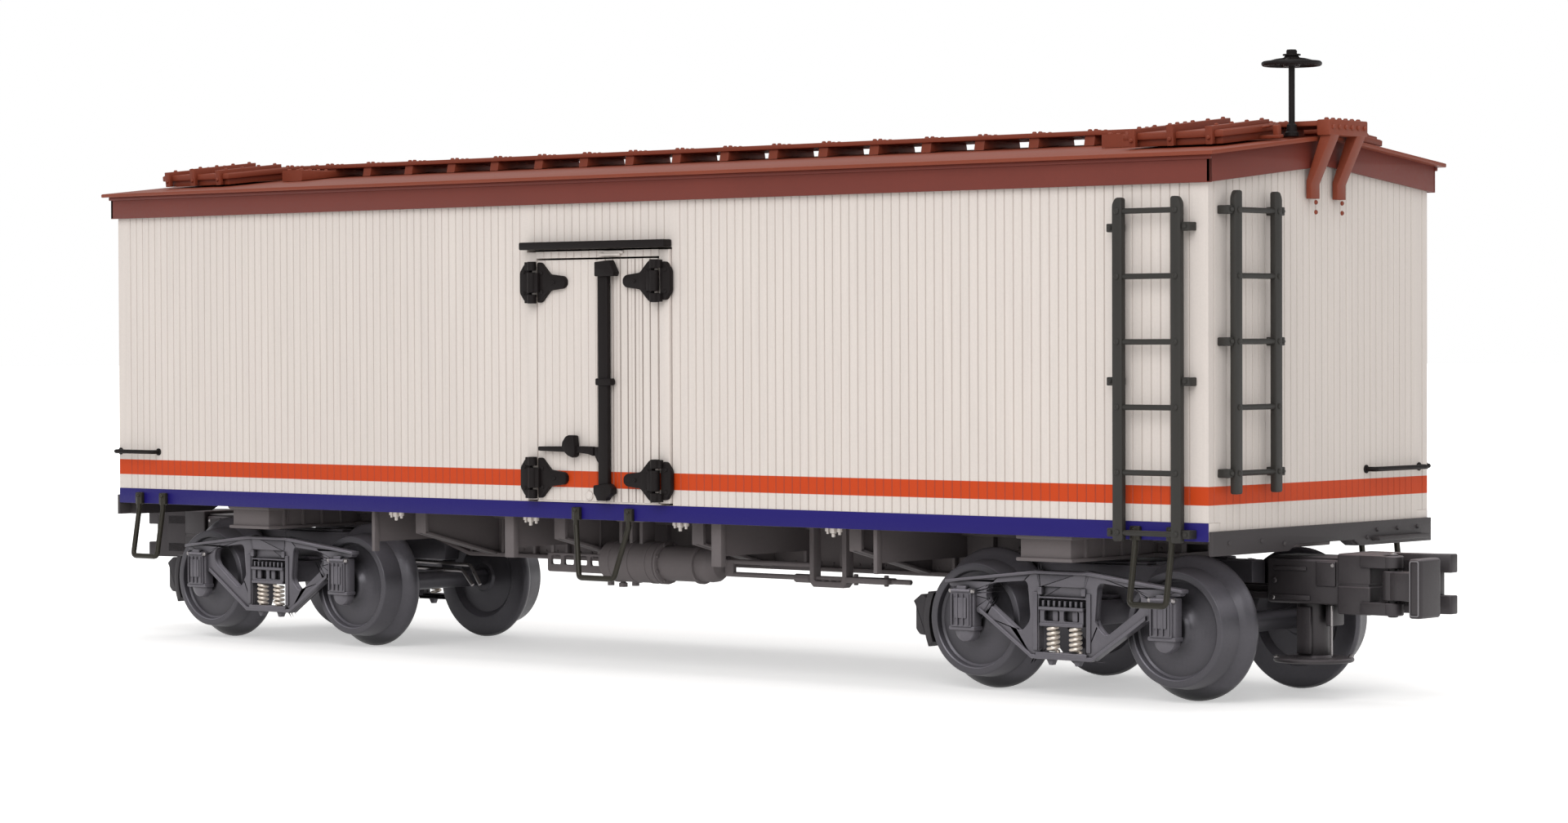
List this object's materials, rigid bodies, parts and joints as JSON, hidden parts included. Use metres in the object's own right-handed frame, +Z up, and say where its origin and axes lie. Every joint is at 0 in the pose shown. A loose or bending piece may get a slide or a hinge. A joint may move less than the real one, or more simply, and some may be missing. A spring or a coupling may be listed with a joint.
{
  "type": "scale model wooden refrigerator car",
  "caption": "Scale model of a wood-sheathed refrigerator car with double side doors, roof ice hatches, running board, ladders, swivelling trucks and couplers.",
  "frame": {"origin": "middle of the car's length and width, at the underside of the wheel flanges that it stands on", "axes": "+X towards the end with the brake wheel, +Z up, -Y the right-hand side seen facing +X"},
  "size_m": [0.2688, 0.062, 0.0926],
  "materials": {
    "body_white": "satin warm white paint over grooved boards, with an orange and a blue stripe",
    "roof_brown": "satin red-brown paint",
    "hardware_black": "satin black",
    "ladder_grey": "satin black-grey",
    "underframe": "matt black-grey paint",
    "truck_grey": "satin blackened casting with worn edges",
    "coupler_grey": "satin blackened casting",
    "wheel_steel": "blackened turned steel"
  },
  "bodies": {
    "car_body": {"floor": "underframe", "underframe": "underframe", "end_sill_front": "underframe", "end_sill_rear": "underframe", "brake_cylinder": "underframe", "valve_bracket": "underframe", "brake_rigging": "underframe", "side_wall_right": "body_white", "side_wall_left": "body_white", "door_frame_right": "body_white", "door_frame_left": "body_white", "end_wall_front": "body_white", "end_wall_rear": "body_white", "roof": "roof_brown", "running_board": "roof_brown", "hatch_right_front": "roof_brown", "hatch_left_front": "roof_brown", "hatch_right_rear": "roof_brown", "hatch_left_rear": "roof_brown", "brake_staff": "hardware_black", "drip_rail_right": "hardware_black", "drip_rail_left": "hardware_black", "side_grab_right": "hardware_black", "side_grab_left": "hardware_black", "end_grab_front": "hardware_black", "end_grab_rear": "hardware_black", "corner_step_right_front": "hardware_black", "corner_step_right_rear": "hardware_black", "corner_step_left_front": "hardware_black", "corner_step_left_rear": "hardware_black", "door_step_right": "hardware_black", "door_step_left": "hardware_black", "side_ladder_right": "ladder_grey", "side_ladder_left": "ladder_grey", "end_ladder_front": "ladder_grey", "end_ladder_rear": "ladder_grey"},
    "door_right_front": {"door_leaf_right_front": "body_white", "locking_rod_right": "hardware_black"},
    "door_right_rear": {"door_leaf_right_rear": "body_white", "door_handle_right": "hardware_black"},
    "door_left_rear": {"door_leaf_left_rear": "body_white", "locking_rod_left": "hardware_black"},
    "door_left_front": {"door_leaf_left_front": "body_white", "door_handle_left": "hardware_black"},
    "truck_front": {"truck_bolster_front": "truck_grey", "side_frame_a_front": "truck_grey", "side_frame_b_front": "truck_grey", "coupler_front": "coupler_grey"},
    "truck_rear": {"truck_bolster_rear": "truck_grey", "side_frame_a_rear": "truck_grey", "side_frame_b_rear": "truck_grey", "coupler_rear": "coupler_grey"},
    "knuckle_front": {"knuckle_front": "coupler_grey"},
    "knuckle_rear": {"knuckle_rear": "coupler_grey"},
    "wheelset_front_outer": {"outer_wheelset_front": "wheel_steel"},
    "wheelset_front_inner": {"inner_wheelset_front": "wheel_steel"},
    "wheelset_rear_outer": {"outer_wheelset_rear": "wheel_steel"},
    "wheelset_rear_inner": {"inner_wheelset_rear": "wheel_steel"}
  },
  "joints": [
    {"name": "truck_front_swivel", "type": "hinge", "parent": "car_body", "child": "truck_front", "pos_m": [0.0845, 0, 0.019], "axis": [0, 0, 1], "range_deg": [-12, 12]},
    {"name": "truck_rear_swivel", "type": "hinge", "parent": "car_body", "child": "truck_rear", "pos_m": [-0.0845, 0, 0.019], "axis": [0, 0, 1], "range_deg": [-12, 12]},
    {"name": "wheelset_front_outer_spin", "type": "hinge", "parent": "truck_front", "child": "wheelset_front_outer", "pos_m": [0.10235, 0, 0.01047], "axis": [0, 1, 0], "continuous": true},
    {"name": "wheelset_front_inner_spin", "type": "hinge", "parent": "truck_front", "child": "wheelset_front_inner", "pos_m": [0.06665, 0, 0.01047], "axis": [0, 1, 0], "continuous": true},
    {"name": "wheelset_rear_outer_spin", "type": "hinge", "parent": "truck_rear", "child": "wheelset_rear_outer", "pos_m": [-0.10235, 0, 0.01047], "axis": [0, 1, 0], "continuous": true},
    {"name": "wheelset_rear_inner_spin", "type": "hinge", "parent": "truck_rear", "child": "wheelset_rear_inner", "pos_m": [-0.06665, 0, 0.01047], "axis": [0, 1, 0], "continuous": true},
    {"name": "knuckle_front_swing", "type": "hinge", "parent": "truck_front", "child": "knuckle_front", "pos_m": [0.1288, -0.0033, 0.017], "axis": [0, 0, -1], "range_deg": [0, 40]},
    {"name": "knuckle_rear_swing", "type": "hinge", "parent": "truck_rear", "child": "knuckle_rear", "pos_m": [-0.1288, 0.0033, 0.017], "axis": [0, 0, -1], "range_deg": [0, 40]},
    {"name": "door_right_front_swing", "type": "hinge", "parent": "car_body", "child": "door_right_front", "pos_m": [0.0131, -0.02985, 0.0455], "axis": [0, 0, 1], "range_deg": [0, 110]},
    {"name": "door_right_rear_swing", "type": "hinge", "parent": "car_body", "child": "door_right_rear", "pos_m": [-0.0131, -0.02985, 0.0455], "axis": [0, 0, -1], "range_deg": [0, 110]},
    {"name": "door_left_rear_swing", "type": "hinge", "parent": "car_body", "child": "door_left_rear", "pos_m": [-0.0131, 0.02985, 0.0455], "axis": [0, 0, 1], "range_deg": [0, 110]},
    {"name": "door_left_front_swing", "type": "hinge", "parent": "car_body", "child": "door_left_front", "pos_m": [0.0131, 0.02985, 0.0455], "axis": [0, 0, -1], "range_deg": [0, 110]}
  ]
}
